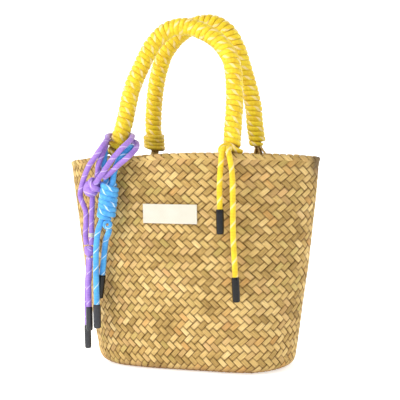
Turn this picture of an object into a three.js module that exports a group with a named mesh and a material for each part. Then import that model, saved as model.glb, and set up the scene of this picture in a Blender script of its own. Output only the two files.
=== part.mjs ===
// Plaited straw basket bag with two wound handles, a bare label and two knotted cords.
// Millimetres, Z up, front towards -Y, origin at the middle of the flat base.

import * as THREE from 'three';

// Basket
const bag_height = 220;
const rim_width = 268;
const rim_depth = 140;
const base_width = 210.6;
const base_depth = 109;
const belly_width = 5;
const belly_depth = 3.4;
const base_shift = 4.9;
const rim_shift = 1;
const base_edge_radius = 10;
const straw_wall = 3;
const rim_left_dip = 10;
const rim_left_dip_power = 2;
const rim_right_dip = 4;
const rim_right_dip_power = 3;
const rim_front_dip = 3;
const rim_front_dip_place = -35;
const rim_front_dip_spread = 18;

// Clearance between neighbours, and how far flat facets may stand off a round wall
const gap = 0.3;
const facet_allowance = 0.7;

// Handles
const handle_span = 120;
const front_rise = 127.5;
const back_rise = 139.2;
const front_lean = 0.22;
const back_lean = 0.15;
const front_shift = -4.5;
const back_shift = 2.5;
const core_diameter = 9;
const wound_cord_width = 5.7;
const wound_cord_height = 4.3;
const wound_groove = 1.2;
const bore_clearance = 1.5;
const core_foot_depth = 36;
const core_stand_off = 2.2;
const wrap_lift = 2;
const collar_turns = 3;
const back_wrap_swell = 0.5;
const collar_swell = 3;

// Label
const label_width = 55;
const label_height = 19;
const label_thickness = 1;
const label_centre_x = -4;
const label_centre_z = 160.5;
const label_stand_off = 0.4;

// Cords
const yellow_cord_diameter = 5.6;
const purple_cord_diameter = 4.8;
const blue_cord_diameter = 5.8;
const cap_length = 24;
const cap_wall = 1;
const cap_chamfer = 0.7;

// Coil and eye of the blue cord
const coil_diameter = 18.8;
const coil_turns = 6;
const coil_groove = 1.2;
const eye_diameter = 10.6;

// Shape of the plan at base and rim: crease is the share of the half width where the flat front ends,
// sharpness how tightly it turns there, and end_round how softly the two ends are rounded
const plan_rows = [
  { crease: 0.68, sharpness: 7.9, end_round: 0.3 },
  { crease: 0.41, sharpness: 9, end_round: 0.3 },
];

// Levels of the basket's rings above its rounded base edge, as shares of the height
const wall_levels = [0.14, 0.3, 0.46, 0.62, 0.78, 0.9, 1];

// Handle routes: across is a share of half the span, up a share of the rise
const front_arch = [
  { across: -1.025, up: 0 },
  { across: -0.91, up: 0.22 },
  { across: -0.808, up: 0.508 },
  { across: -0.697, up: 0.651 },
  { across: -0.562, up: 0.797 },
  { across: -0.425, up: 0.9 },
  { across: -0.185, up: 0.988 },
  { across: 0.15, up: 1 },
  { across: 0.39, up: 0.958 },
  { across: 0.622, up: 0.893 },
  { across: 0.828, up: 0.786 },
  { across: 0.926, up: 0.69 },
  { across: 0.998, up: 0.42 },
  { across: 0.99, up: 0.146 },
  { across: 0.99, up: 0 },
];
const back_arch = [
  { across: -0.985, up: 0 },
  { across: -0.986, up: 0.22 },
  { across: -0.955, up: 0.369 },
  { across: -0.903, up: 0.512 },
  { across: -0.818, up: 0.653 },
  { across: -0.69, up: 0.784 },
  { across: -0.525, up: 0.872 },
  { across: -0.385, up: 0.926 },
  { across: -0.1, up: 0.988 },
  { across: 0.195, up: 1 },
  { across: 0.445, up: 0.948 },
  { across: 0.588, up: 0.868 },
  { across: 0.69, up: 0.765 },
  { across: 0.775, up: 0.635 },
  { across: 0.862, up: 0.497 },
  { across: 0.93, up: 0.358 },
  { across: 0.95, up: 0.218 },
  { across: 1.01, up: 0 },
];

// Cord routes, each point chosen by hand
const yellow_left_route = [
  [49.6, -71.9, 221.3],
  [48.2, -73.5, 206],
  [47.2, -73.3, 188],
  [47.5, -73.1, 166.5],
];
const yellow_right_route = [
  [55.6, -71.9, 221.3],
  [59.2, -73.6, 204],
  [60.2, -73.4, 177],
  [60.4, -73, 144],
  [61.9, -72.6, 116],
  [62.6, -72.5, 101.5],
];
const purple_upper_route = [
  [-76.4, -79.4, 190.2],
  [-74.4, -80.8, 192.6],
  [-71.4, -81.2, 196.4],
  [-67.5, -80.6, 201.6],
  [-60, -79.4, 212.7],
  [-49.9, -77.4, 224.3],
  [-44.8, -71, 231],
  [-44.8, -62, 234.4],
  [-48.4, -50, 236.2],
  [-53, -37.4, 237.4],
  [-62.2, -33, 238],
  [-70.8, -36, 238],
  [-75, -43, 237.6],
  [-74, -52, 236.4],
  [-70.8, -60.4, 234.4],
  [-69.4, -69, 231.4],
  [-70.4, -76.6, 226],
  [-73.6, -79.2, 220.6],
  [-78.4, -78.4, 214.2],
  [-84, -75.4, 208.6],
  [-89.5, -71, 201.2],
  [-94.5, -67, 192.3],
  [-98.3, -64.4, 182.1],
  [-99.1, -63.2, 175.1],
  [-96.4, -62.6, 167.9],
  [-93.8, -62.8, 161.3],
  [-93.3, -63.4, 150.5],
  [-93.7, -64, 137],
  [-92.8, -64, 127.4],
];
const purple_lower_route = [
  [-68.8, -77, 195.4],
  [-60.2, -78, 201.7],
  [-51.9, -78, 209.1],
  [-43.2, -76, 216.6],
  [-38.4, -69, 223.8],
  [-40.2, -59, 228.6],
  [-47.6, -45, 231],
  [-56, -36.4, 232],
  [-64.5, -34.8, 232.2],
  [-73, -38.6, 231.8],
  [-76.2, -46, 230.4],
  [-74.2, -56.4, 228.8],
  [-71.2, -64.2, 227],
  [-69.8, -71, 224.3],
  [-70.8, -74.8, 218.6],
  [-73, -75.8, 213],
  [-75.4, -74.6, 207],
  [-76.6, -72.6, 201.4],
  [-78.2, -70.6, 196.6],
];
const purple_strand_route = [
  [-85.4, -65.4, 174.4],
  [-86.4, -64.6, 160],
  [-87, -64.1, 147],
  [-87.2, -64, 137],
  [-87.3, -64, 127.2],
];
const purple_left_route = [
  [-91.4, -62.2, 114.6],
  [-92, -61, 104],
  [-93.2, -60.9, 89.5],
  [-94, -60.9, 66],
  [-93.6, -60.9, 44.8],
];
const purple_right_route = [
  [-88, -65.8, 114.4],
  [-88.6, -66.5, 104],
  [-89.6, -66.5, 90],
  [-89.4, -66.5, 64.6],
];
const blue_loop_route = [
  [-60.8, -74, 189.5],
  [-59.4, -71.6, 202.5],
  [-55, -71.8, 212.5],
  [-50, -72.2, 219],
  [-44.6, -66, 224.6],
  [-47.5, -54, 225.8],
  [-54.6, -40.8, 225.8],
  [-64.8, -36, 224.6],
  [-74, -39.6, 222.6],
  [-77.8, -48.2, 220.4],
  [-76, -55, 219.6],
  [-72.6, -62, 220.6],
  [-70.9, -67.4, 219.8],
  [-70.6, -70, 214.4],
  [-71, -69.6, 205],
  [-69.4, -70.4, 197],
  [-67, -72.2, 190.8],
];
const blue_near_route = [
  [-72.6, -74.2, 152.6],
  [-76.4, -73.4, 143],
  [-79.3, -71.5, 126],
  [-80.1, -70.5, 97],
  [-79.8, -70, 68],
];
const blue_far_route = [
  [-65.6, -73, 141],
  [-71, -65.5, 134],
  [-73.6, -63.4, 122],
  [-75.6, -62.6, 106],
  [-76.8, -62.5, 97],
];

// Knots: middle and half sizes of each
const purple_knot_place = { middle: [-86, -67, 184.4], half: [8, 7.4, 9.6] };
const purple_small_knot_place = { middle: [-89.6, -64, 120.8], half: [5.6, 5.4, 6] };
const tie_place = { middle: [-87.2, -64, 137], height: 4.4, width: 7.2 };
const yellow_knot_half = [6.6, 4.6, 4.4];
const coil_top = [-63.2, -74.6, 188.2];
const coil_bottom = [-68, -74.6, 153.4];
const eye_place = [-63, -74.4, 146.6];

const mix = (a, b, t) => a + (b - a) * t;
const sum = (list) => list.reduce((a, b) => a + b, 0);

// Half sizes, outline and sideways shift of the plan at a height
function planAt(z) {
  const t = THREE.MathUtils.clamp(z / bag_height, 0, 1);
  const belly = 4 * t * (1 - t);
  const [base_row, rim_row] = plan_rows;
  return {
    half_width: mix(base_width, rim_width, t) / 2 + (belly_width / 2) * belly,
    half_depth: mix(base_depth, rim_depth, t) / 2 + (belly_depth / 2) * belly,
    crease: mix(base_row.crease, rim_row.crease, t),
    sharpness: mix(base_row.sharpness, rim_row.sharpness, t),
    end_round: mix(base_row.end_round, rim_row.end_round, t),
    shift: mix(base_shift, rim_shift, t),
  };
}

// Size of the rounded six-sided plan at a point given in shares of its half sizes
function planGauge(u, v, plan) {
  const p = plan.sharpness;
  const tip = 2 ** (-1 / p);
  const across = Math.abs(u) * tip;
  const along = Math.abs(v);
  const rounded = (distance, place) => Math.hypot(distance, plan.end_round * place) - plan.end_round * place;
  const facet = across + (rounded(along, across) / rounded(1, plan.crease)) * (1 - plan.crease);
  return (across ** p + along ** p + facet ** p) ** (1 / p);
}

// Point of the basket's plan at an angle, drawn in by an inset
function planPoint(plan, angle, inset) {
  const u = Math.cos(angle);
  const v = Math.sin(angle);
  const size = planGauge(u, v, plan);
  const x = ((plan.half_width - inset) * u) / size + plan.shift;
  const y = ((plan.half_depth - inset) * v) / size;
  return [x, y];
}

// Distance of the wall's face from the middle plane at a place and height: the outer face has no inset
function wallFace(x, z, inset = 0) {
  const plan = planAt(z);
  const u = (x - plan.shift) / (plan.half_width - inset);
  let low = 0;
  let high = 1.2;
  for (let step = 0; step < 40; step += 1) {
    const middle = (low + high) / 2;
    if (planGauge(u, middle, plan) < 1) low = middle;
    else high = middle;
  }
  return (plan.half_depth - inset) * low;
}

// Distance from the middle plane at which a round upright touches the wall from inside
function seatInside(x, z, radius) {
  const reaches = [-1, -0.75, -0.5, -0.25, 0, 0.25, 0.5, 0.75, 1].map((share) => {
    const across = share * radius;
    return wallFace(x + across, z, straw_wall) - Math.sqrt(radius * radius - across * across);
  });
  return Math.min(...reaches);
}

// Drop of the wall's points towards the rim's ends and at its slack front stretch
function rimDrop(x, y, t) {
  const reach = Math.abs(x) / (rim_width / 2);
  const left_drop = rim_left_dip * reach ** rim_left_dip_power;
  const right_drop = rim_right_dip * reach ** rim_right_dip_power;
  const end_drop = x < 0 ? left_drop : right_drop;
  const away = (x - rim_front_dip_place) / rim_front_dip_spread;
  const front_drop = y < 0 ? rim_front_dip * Math.exp(-away * away) : 0;
  return end_drop * t + front_drop * t ** 8;
}

// Closed solid over a run of rings, with a fan at each end or joined round from last to first
function loft(rings, joined) {
  const sides = rings[0].length;
  const points = rings.flat();
  const triangles = [];
  const bands = joined ? rings.length : rings.length - 1;
  for (let band = 0; band < bands; band += 1) {
    const lower = band * sides;
    const upper = ((band + 1) % rings.length) * sides;
    for (let side = 0; side < sides; side += 1) {
      const next = (side + 1) % sides;
      triangles.push(lower + side, lower + next, upper + next);
      triangles.push(lower + side, upper + next, upper + side);
    }
  }
  if (!joined) {
    addFan(points, triangles, 0, sides, true);
    addFan(points, triangles, (rings.length - 1) * sides, sides, false);
  }
  return solidGeometry(points, triangles);
}

// Flat fan over one ring from its middle
function addFan(points, triangles, first, sides, reversed) {
  const middle = new THREE.Vector3();
  for (let side = 0; side < sides; side += 1) middle.add(points[first + side]);
  const centre = points.push(middle.divideScalar(sides)) - 1;
  for (let side = 0; side < sides; side += 1) {
    const here = first + side;
    const next = first + ((side + 1) % sides);
    if (reversed) triangles.push(centre, next, here);
    else triangles.push(centre, here, next);
  }
}

// Geometry from points and triangles, turned so that its faces point out
function solidGeometry(points, triangles) {
  const volumes = [];
  for (let i = 0; i < triangles.length; i += 3) {
    const [a, b, c] = [points[triangles[i]], points[triangles[i + 1]], points[triangles[i + 2]]];
    volumes.push(a.dot(new THREE.Vector3().crossVectors(b, c)));
  }
  const order = sum(volumes) < 0 ? triangles.slice().reverse() : triangles;
  const geometry = new THREE.BufferGeometry().setFromPoints(points);
  geometry.setIndex(order);
  geometry.computeVertexNormals();
  return geometry;
}

// Materials
const surface = (color, roughness) => new THREE.MeshStandardMaterial({ color, roughness, metalness: 0 });
const straw = () => surface(0xd9b877, 0.72);
const core_straw = () => surface(0xbfa36a, 0.8);
const yellow_cord = () => surface(0xf5d91e, 0.55);
const purple_cord = () => surface(0xb58ae0, 0.6);
const blue_cord = () => surface(0x55b4f2, 0.55);
const pale_thread = () => surface(0xe4ddcf, 0.8);
const label_cloth = () => surface(0xfffde8, 0.85);
const black_cap = () => surface(0x2b2b30, 0.35);
const grey_cap = () => surface(0x55575f, 0.35);

const group = new THREE.Group();

function addPiece(name, geometry, material) {
  const piece = new THREE.Mesh(geometry, material);
  piece.name = name;
  group.add(piece);
  return piece;
}

// Ring of the basket at a height, drawn in by an inset
function basketRing(z, inset) {
  const columns = 56;
  const plan = planAt(z);
  const t = z / bag_height;
  const ring = [];
  for (let column = 0; column < columns; column += 1) {
    const [x, y] = planPoint(plan, (column / columns) * 2 * Math.PI, inset);
    ring.push(new THREE.Vector3(x, y, z - rimDrop(x, y, t)));
  }
  return ring;
}

// Rings round a base edge of some radius that starts at a height
function edgeRings(floor, radius, inset) {
  return [0, 30, 60, 90].map((degrees) => {
    const angle = THREE.MathUtils.degToRad(degrees);
    const z = floor + radius * (1 - Math.cos(angle));
    return basketRing(z, inset + radius * (1 - Math.sin(angle)));
  });
}

// Plaited body: outer wall, rim, inner wall and floor in one closed shell
function basket() {
  const outer = edgeRings(0, base_edge_radius, 0);
  const inner = edgeRings(straw_wall, base_edge_radius - straw_wall, straw_wall);
  for (const level of wall_levels) {
    outer.push(basketRing(level * bag_height, 0));
    inner.push(basketRing(level * bag_height, straw_wall));
  }
  addPiece('basket', loft([...outer, ...inner.reverse()], false), straw());
}

// Bare label that lies on the front wall and follows its curve
function label() {
  const columns = 6;
  const low = label_centre_z - label_height / 2;
  const high = label_centre_z + label_height / 2;
  const rings = [];
  for (let column = 0; column <= columns; column += 1) {
    const x = label_centre_x + label_width * (column / columns - 0.5);
    const back_low = -(wallFace(x, low) + label_stand_off);
    const back_high = -(wallFace(x, high) + label_stand_off);
    rings.push([
      new THREE.Vector3(x, back_low, low),
      new THREE.Vector3(x, back_high, high),
      new THREE.Vector3(x, back_high - label_thickness, high),
      new THREE.Vector3(x, back_low - label_thickness, low),
    ]);
  }
  addPiece('label', loft(rings, false), label_cloth());
}

// Route of one handle's core: up inside the wall, over the arch and down inside the wall
function handlePath(arch, side, rise, lean, shift) {
  const seat_radius = core_diameter / 2 + facet_allowance + gap;
  const footPoint = (x, depth) => {
    const z = bag_height - depth;
    const slack = core_stand_off * (1 - depth / core_foot_depth);
    return new THREE.Vector3(x, side * (seatInside(x, z, seat_radius) - slack), z);
  };
  const acrossToX = (across) => shift + (across * handle_span) / 2;
  const left = footPoint(acrossToX(arch[0].across), 0);
  const right = footPoint(acrossToX(arch.at(-1).across), 0);
  const depths = [core_foot_depth, core_foot_depth * 0.45];
  const points = depths.map((depth) => footPoint(left.x, depth));
  for (const row of arch) {
    const x = acrossToX(row.across);
    const foot_y = mix(left.y, right.y, (x - left.x) / (right.x - left.x));
    const height = row.up * rise;
    points.push(new THREE.Vector3(x, foot_y - side * lean * height, bag_height + height));
  }
  depths.reverse().forEach((depth) => points.push(footPoint(right.x, depth)));
  return new THREE.CatmullRomCurve3(points, false, 'centripetal');
}

// Share of a path's length at which it rises past a height, from one end or the other
function shareAtHeight(path, height, from_end) {
  const steps = 400;
  for (let step = 0; step <= steps; step += 1) {
    const share = from_end ? 1 - step / steps : step / steps;
    if (path.getPointAt(share).z >= height) return share;
  }
  return from_end ? 1 : 0;
}

// Ring of points round a path, square to it
function pathRing(path, share, radius, sides, lean_normal) {
  const middle = path.getPointAt(share);
  const along = path.getTangentAt(share);
  const first = new THREE.Vector3().crossVectors(along, lean_normal).normalize();
  const second = new THREE.Vector3().crossVectors(first, along).normalize();
  const ring = [];
  for (let side = 0; side < sides; side += 1) {
    const angle = (side / sides) * 2 * Math.PI;
    const point = middle.clone();
    point.addScaledVector(first, radius * Math.cos(angle));
    point.addScaledVector(second, radius * Math.sin(angle));
    ring.push(point);
  }
  return ring;
}

// Cord wound turn beside turn round a stretch of a path, as one ribbed sleeve with a bore
function woundSleeve(path, from, to, swell) {
  const sides = 8;
  const bore_steps = 28;
  const bore = core_diameter / 2 + bore_clearance;
  const outer = core_diameter / 2 + wound_cord_height + swell;
  const normal = new THREE.Vector3(0, 1, 0);
  const turns = Math.max(1, Math.round((path.getLength() * (to - from)) / wound_cord_width));
  const bore_rings = Math.min(bore_steps, 2 * turns);
  const rings = [];
  for (let half = 0; half <= 2 * turns; half += 1) {
    const radius = half % 2 === 1 ? outer : outer - wound_groove;
    rings.push(pathRing(path, mix(from, to, half / (2 * turns)), radius, sides, normal));
  }
  for (let step = bore_rings; step >= 0; step -= 1) {
    rings.push(pathRing(path, mix(from, to, step / bore_rings), bore, sides, normal));
  }
  return loft(rings, true);
}

// Round section of a tube, with flats half a side off so that the corners straddle the axes
function roundSection(diameter, sides) {
  const outline = new THREE.Shape();
  for (let side = 0; side < sides; side += 1) {
    const angle = ((side + 0.5) / sides) * 2 * Math.PI;
    const x = (diameter / 2) * Math.cos(angle);
    const y = (diameter / 2) * Math.sin(angle);
    if (side === 0) outline.moveTo(x, y);
    else outline.lineTo(x, y);
  }
  outline.closePath();
  return outline;
}

// Tube of a diameter along a path
function tubeAlong(path, diameter, steps) {
  const settings = { steps, extrudePath: path, bevelEnabled: false };
  return new THREE.ExtrudeGeometry(roundSection(diameter, 8), settings);
}

// Straw core and its winding
function handle(name, path) {
  const core_steps = 44;
  const wrap_from = shareAtHeight(path, bag_height + wrap_lift, false);
  const wrap_to = shareAtHeight(path, bag_height + wrap_lift, true);
  addPiece(`handle_core_${name}`, tubeAlong(path, core_diameter, core_steps), core_straw());
  return { wrap_from, wrap_to };
}

function frontHandle() {
  const path = handlePath(front_arch, -1, front_rise, front_lean, front_shift);
  const { wrap_from, wrap_to } = handle('front', path);
  addPiece('handle_wrap_front', woundSleeve(path, wrap_from, wrap_to, 0), yellow_cord());
  return path.getPointAt(wrap_to);
}

// The back handle's last turns at its left foot are wound over others and stand out as a collar
function backHandle() {
  const path = handlePath(back_arch, 1, back_rise, back_lean, back_shift);
  const { wrap_from, wrap_to } = handle('back', path);
  const collar_share = (collar_turns * wound_cord_width) / path.getLength();
  const gap_share = gap / path.getLength();
  const collar_to = wrap_from + collar_share;
  const collar = woundSleeve(path, wrap_from, collar_to, collar_swell);
  addPiece('wrap_collar_back', collar, yellow_cord());
  addPiece('handle_wrap_back', woundSleeve(path, collar_to + gap_share, wrap_to, back_wrap_swell), yellow_cord());
}

// Free cord along its route, with a step every two to three diameters
function cord(name, route, diameter, material) {
  const points = route.map((place) => new THREE.Vector3(...place));
  const path = new THREE.CatmullRomCurve3(points, false, 'centripetal');
  const steps = Math.ceil(path.getLength() / (2.2 * diameter));
  addPiece(name, tubeAlong(path, diameter, steps), material);
  return path;
}

// Stands a turned piece along a line, with its axis from the line's start
function standAlong(piece, start, direction) {
  piece.position.copy(start);
  piece.quaternion.setFromUnitVectors(new THREE.Vector3(0, 1, 0), direction.clone().normalize());
}

// End cap that carries on past the end of a cord
function cap(name, path, diameter, material) {
  const radius = diameter / 2 + cap_wall;
  const profile = [
    [0, 0],
    [radius - cap_chamfer, 0],
    [radius, cap_chamfer],
    [radius, cap_length - cap_chamfer],
    [radius - cap_chamfer, cap_length],
    [0, cap_length],
  ];
  const outline = profile.map(([x, y]) => new THREE.Vector2(x, y));
  const piece = addPiece(name, new THREE.LatheGeometry(outline, 10), material);
  const direction = path.getTangentAt(1);
  standAlong(piece, path.getPointAt(1).addScaledVector(direction, gap), direction);
}

// Rounded knot as a scaled ball
function knot(name, middle, half, material) {
  const piece = addPiece(name, new THREE.SphereGeometry(1, 10, 7).scale(...half), material);
  piece.position.set(...middle);
}

// Two loose ends of the front winding, tied in a knot against its right foot
function yellowEnds(foot) {
  const groove_radius = core_diameter / 2 + wound_cord_height - wound_groove;
  const [half_x, half_y, half_z] = yellow_knot_half;
  const knot_y = foot.y - groove_radius - gap - half_y;
  const knot_z = bag_height + gap + half_z;
  knot('yellow_knot', [foot.x - half_x / 2, knot_y, knot_z], [half_x, half_y, half_z], yellow_cord());
  const left = cord('yellow_tail_left', yellow_left_route, yellow_cord_diameter, yellow_cord());
  cap('yellow_cap_left', left, yellow_cord_diameter, black_cap());
  const right = cord('yellow_tail_right', yellow_right_route, yellow_cord_diameter, yellow_cord());
  cap('yellow_cap_right', right, yellow_cord_diameter, black_cap());
}

// Thin thread tied round one strand
function threadTie() {
  const { middle, height, width } = tie_place;
  const hole = purple_cord_diameter / 2 + 2 * gap;
  const outline = [
    new THREE.Vector2(hole, -height / 2),
    new THREE.Vector2(width / 2 - 0.6, -height / 2),
    new THREE.Vector2(width / 2, 0),
    new THREE.Vector2(width / 2 - 0.6, height / 2),
    new THREE.Vector2(hole, height / 2),
    new THREE.Vector2(hole, -height / 2),
  ];
  const piece = addPiece('purple_tie', new THREE.LatheGeometry(outline, 12), pale_thread());
  standAlong(piece, new THREE.Vector3(...middle), new THREE.Vector3(0, 0, 1));
}

// Purple cord: laid round the left foot in two loops, knotted twice, with two capped ends
function purpleCord() {
  cord('purple_loop_upper', purple_upper_route, purple_cord_diameter, purple_cord());
  cord('purple_loop_lower', purple_lower_route, purple_cord_diameter, purple_cord());
  knot('purple_knot', purple_knot_place.middle, purple_knot_place.half, purple_cord());
  cord('purple_strand', purple_strand_route, purple_cord_diameter, purple_cord());
  threadTie();
  const small = purple_small_knot_place;
  knot('purple_small_knot', small.middle, small.half, purple_cord());
  const left = cord('purple_tail_left', purple_left_route, purple_cord_diameter, purple_cord());
  cap('purple_cap_left', left, purple_cord_diameter, grey_cap());
  const right = cord('purple_tail_right', purple_right_route, purple_cord_diameter, purple_cord());
  cap('purple_cap_right', right, purple_cord_diameter, grey_cap());
}

// Coil knot: turns of the blue cord beside each other, closed at both ends
function blueCoil() {
  const top = new THREE.Vector3(...coil_top);
  const along = new THREE.Vector3(...coil_bottom).sub(top);
  const length = along.length();
  const radius = coil_diameter / 2;
  const end_radius = radius - coil_groove - 2;
  const outline = [new THREE.Vector2(0, 0), new THREE.Vector2(end_radius, 0)];
  for (let half = 1; half < 2 * coil_turns; half += 1) {
    const depth = half % 2 === 1 ? 0 : coil_groove;
    outline.push(new THREE.Vector2(radius - depth, (length * half) / (2 * coil_turns)));
  }
  outline.push(new THREE.Vector2(end_radius, length), new THREE.Vector2(0, length));
  const piece = addPiece('blue_coil', new THREE.LatheGeometry(outline, 14), blue_cord());
  standAlong(piece, top, along);
}

// Blue cord: laid round the same foot, wound into a coil knot, with an eye and two capped ends
function blueCord() {
  cord('blue_loop', blue_loop_route, blue_cord_diameter, blue_cord());
  blueCoil();
  const tube_radius = (eye_diameter - blue_cord_diameter) / 2 - 0.3;
  const eye = new THREE.TorusGeometry(eye_diameter / 2 - tube_radius, tube_radius, 8, 14);
  const eye_piece = addPiece('blue_eye', eye.rotateX(Math.PI / 2), blue_cord());
  eye_piece.position.set(...eye_place);
  const near = cord('blue_tail_near', blue_near_route, blue_cord_diameter, blue_cord());
  cap('blue_cap_near', near, blue_cord_diameter, grey_cap());
  const far = cord('blue_tail_far', blue_far_route, blue_cord_diameter, blue_cord());
  cap('blue_cap_far', far, blue_cord_diameter, black_cap());
}

basket();
label();
const front_right_foot = frontHandle();
backHandle();
yellowEnds(front_right_foot);
purpleCord();
blueCord();

export default group;
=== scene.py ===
import math

import bpy
import numpy as np
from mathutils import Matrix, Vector


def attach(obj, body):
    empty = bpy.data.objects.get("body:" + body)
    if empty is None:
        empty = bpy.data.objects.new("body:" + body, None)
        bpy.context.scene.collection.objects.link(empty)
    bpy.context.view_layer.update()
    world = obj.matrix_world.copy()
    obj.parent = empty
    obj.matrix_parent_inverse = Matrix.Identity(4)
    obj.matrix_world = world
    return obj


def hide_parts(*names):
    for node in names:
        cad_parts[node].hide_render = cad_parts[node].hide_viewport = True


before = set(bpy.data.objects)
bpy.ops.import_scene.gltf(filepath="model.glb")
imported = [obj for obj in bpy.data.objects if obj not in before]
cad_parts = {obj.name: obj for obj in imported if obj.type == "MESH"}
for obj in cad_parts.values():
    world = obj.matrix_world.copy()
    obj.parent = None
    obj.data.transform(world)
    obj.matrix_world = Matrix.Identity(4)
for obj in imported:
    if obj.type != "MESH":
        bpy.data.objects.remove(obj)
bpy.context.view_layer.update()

MM = 0.001
rng = np.random.default_rng(7)

# Basket, in millimetres
BAG_HEIGHT = 220
RIM_WIDTH, RIM_DEPTH = 268, 140
BASE_WIDTH, BASE_DEPTH = 210.6, 109
BELLY_WIDTH, BELLY_DEPTH = 5, 3.4
BASE_SHIFT, RIM_SHIFT = 4.9, 1
EDGE_RADIUS = 10
STRAW_WALL = 3
LEFT_DIP, LEFT_DIP_POWER = 10, 2
RIGHT_DIP, RIGHT_DIP_POWER = 4, 3
FRONT_DIP, FRONT_DIP_PLACE, FRONT_DIP_SPREAD = 3, -35, 18
CREASE = (0.68, 0.41)
SHARPNESS = (7.9, 9)
END_ROUND = 0.3
GAP = 0.3

# Plait
COLUMNS = 76
ROWS = 31
STRAND_THICKNESS = 0.7
STRAND_WIDTH = 1.0
CROWN = 0.38
LIFT = 0.66
MIDDLE_INSET = 1.5
FLOAT_CELLS = 2
STEPS_PER_CELL = 3
TWILL_SNAP = 2.2
CELL_WIDTH, CELL_GROWTH = 7.8, 0.0107
WALL_LEVELS, WALL_COLUMNS = 300, 900

# Flat section of a strand: places across it, heights over its own middle, and texture places round it
SECTION_ACROSS = np.array([-0.5, -0.45, -0.28, 0.28, 0.45, 0.5])
SECTION_UP = np.array([-1.0, 0.3, 1.0, 1.0, 0.3, -1.0])
SECTION_PLACES = np.array([0.0, 0.05, 0.22, 0.78, 0.95, 1.0, 0.0])

# Soft dents of the wall: size, waves round it, waves up it, and lead of each wave
DENTS = [(0.4, 3, 1.3, 1), (0.35, 7, -2, 2), (0.25, 11, 3.1, 4)]
DENT_SINK, DENT_DEPTH = 0.9, 0.5

# Plaited base
BASE_SPACING = 6.6
BASE_INSET = 9.0
BASE_MIDDLE_HEIGHT = 1.5
BASE_SHORTEST = 12

# Handles
CORE_DIAMETER = 9
TURN_WIDTH = 5.7
TURN_HEIGHT = 4.3
CORE_FOOT_DEPTH = 36
CORE_STAND_OFF = 2.2
SEAT_CLEARANCE = 0.7
ROPE_STRAND, ROPE_RADIUS, ROPE_LEAD = 5.0, 2.1, 26
TURN_OVERLAP = 1.04
WRAP_LIFT = 2
WRAP_END = 1.6
FRONT_FOOT_REACH = 7
BACK_FOOT_SHORT, BACK_SWELL = 4.5, 0.5
BEND_HEIGHT, BEND_RUN, BEND_DEPTH = 5, 8, 3.6
STRAP_WIDTH, STRAP_THICKNESS = 6.0, 2.0
STRAP_ABOVE, STRAP_BELOW, STRAP_SPREAD, STRAP_SHIFT, STRAP_OUT = 12, 14, 6.5, 2.0, 3.6
SPAN = 120
FRONT = {"side": -1, "rise": 127.5, "lean": 0.22, "shift": -4.5, "pitch": 5.4}
BACK = {"side": 1, "rise": 139.2, "lean": 0.15, "shift": 2.5, "pitch": 5.6}
FRONT_ARCH = [
    (-1.025, 0), (-0.91, 0.22), (-0.808, 0.508), (-0.697, 0.651), (-0.562, 0.797),
    (-0.425, 0.9), (-0.185, 0.988), (0.15, 1), (0.39, 0.958), (0.622, 0.893),
    (0.828, 0.786), (0.926, 0.69), (0.998, 0.42), (0.99, 0.146), (0.99, 0),
]
BACK_ARCH = [
    (-0.985, 0), (-0.986, 0.22), (-0.955, 0.369), (-0.903, 0.512), (-0.818, 0.653),
    (-0.69, 0.784), (-0.525, 0.872), (-0.385, 0.926), (-0.1, 0.988), (0.195, 1),
    (0.445, 0.948), (0.588, 0.868), (0.69, 0.765), (0.775, 0.635), (0.862, 0.497),
    (0.93, 0.358), (0.95, 0.218), (1.01, 0),
]

# Cords
YELLOW_DIAMETER, PURPLE_DIAMETER, BLUE_DIAMETER = 5.6, 4.8, 5.8
PURPLE_FULLNESS = 1.12
CORD_STEP = 0.8
FOOT_STRAND = [
    (46.2, -66, 220.2), (46.4, -63.8, 224.6), (49.6, -60.8, 227.2), (54.2, -59.4, 226.2),
    (59.6, -57.6, 223.4), (64, -52, 221),
]
YELLOW_LEFT = [
    (52, -62.5, 224), (50.4, -68.6, 224.6), (49.6, -71.9, 221.3), (48.2, -73.5, 206),
    (47.2, -73.3, 188), (47.5, -73.1, 166.5),
]
YELLOW_RIGHT = [
    (54.6, -62.5, 224), (55, -68.6, 224.6), (55.6, -71.9, 221.3), (59.2, -73.6, 204),
    (60.2, -73.4, 177), (60.4, -73, 144), (61.9, -72.6, 116), (62.6, -72.5, 101.5),
]
PURPLE_UPPER = [
    (-76.4, -79.4, 190.2), (-74.4, -80.8, 192.6), (-71.4, -81.2, 196.4), (-67.5, -80.6, 201.6),
    (-60, -79.4, 212.7), (-49.9, -77.4, 224.3), (-44.8, -71, 231), (-44.8, -62, 234.4),
    (-48.4, -50, 236.2), (-53, -37.4, 237.4), (-62.2, -33, 238), (-70.8, -36, 238),
    (-75, -43, 237.6), (-74, -52, 236.4), (-70.8, -60.4, 234.4), (-69.4, -69, 231.4),
    (-70.4, -76.6, 226), (-73.6, -79.2, 220.6), (-78.4, -78.4, 214.2), (-84, -75.4, 208.6),
    (-89.5, -71, 201.2), (-94.5, -67, 192.3), (-98.3, -64.4, 182.1), (-99.1, -63.2, 175.1),
    (-96.4, -62.6, 167.9), (-93.8, -62.8, 161.3), (-93.3, -63.4, 150.5), (-93.7, -64, 137),
    (-92.8, -64, 127.4),
]
PURPLE_LOWER = [
    (-68.8, -77, 195.4), (-60.2, -78, 201.7), (-51.9, -78, 209.1), (-43.2, -76, 216.6),
    (-38.4, -69, 223.8), (-40.2, -59, 228.6), (-47.6, -45, 231), (-56, -36.4, 232),
    (-64.5, -34.8, 232.2), (-73, -38.6, 231.8), (-76.2, -46, 230.4), (-74.2, -56.4, 228.8),
    (-71.2, -64.2, 227), (-69.8, -71, 224.3), (-70.8, -74.8, 218.6), (-73, -75.8, 213),
    (-75.4, -74.6, 207), (-76.6, -72.6, 201.4), (-78.2, -70.6, 196.6),
]
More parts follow.
